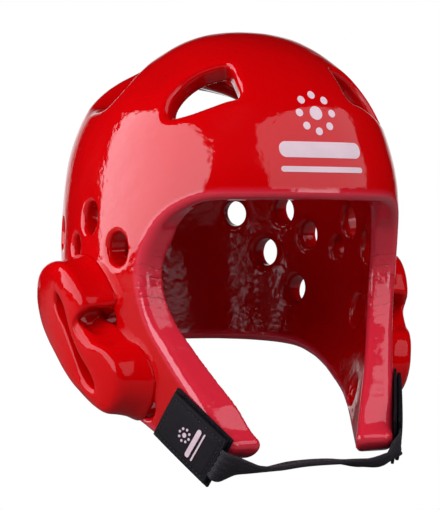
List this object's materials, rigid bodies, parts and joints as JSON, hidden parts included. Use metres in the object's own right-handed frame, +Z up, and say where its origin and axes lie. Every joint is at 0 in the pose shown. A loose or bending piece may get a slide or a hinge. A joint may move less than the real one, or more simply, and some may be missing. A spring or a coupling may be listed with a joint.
{
  "type": "sparring headgear",
  "caption": "Open-face padded sparring headgear with long cheeks, raised ear guards, a vented crown and a hook-and-loop chin strap.",
  "frame": {"origin": "the point inside the crown where the top of the wearer's head sits", "axes": "+Z up, the wearer looks along -Y, the wearer's left side at +X"},
  "size_m": [0.2286, 0.2326, 0.259],
  "materials": {
    "shell": "glossy dipped vinyl skin over foam",
    "guard": "glossy dipped vinyl skin over foam",
    "hook": "black loop pile patch",
    "tab": "black stitched webbing tab",
    "strap": "black elastic webbing"
  },
  "bodies": {
    "root": {"shell": "shell", "ear_guard_left": "guard", "ear_guard_right": "guard", "hook_patch_right": "hook", "hook_patch_left": "hook", "strap_tab_right": "tab", "strap_tab_left": "tab", "chin_strap": "strap"}
  },
  "joints": []
}
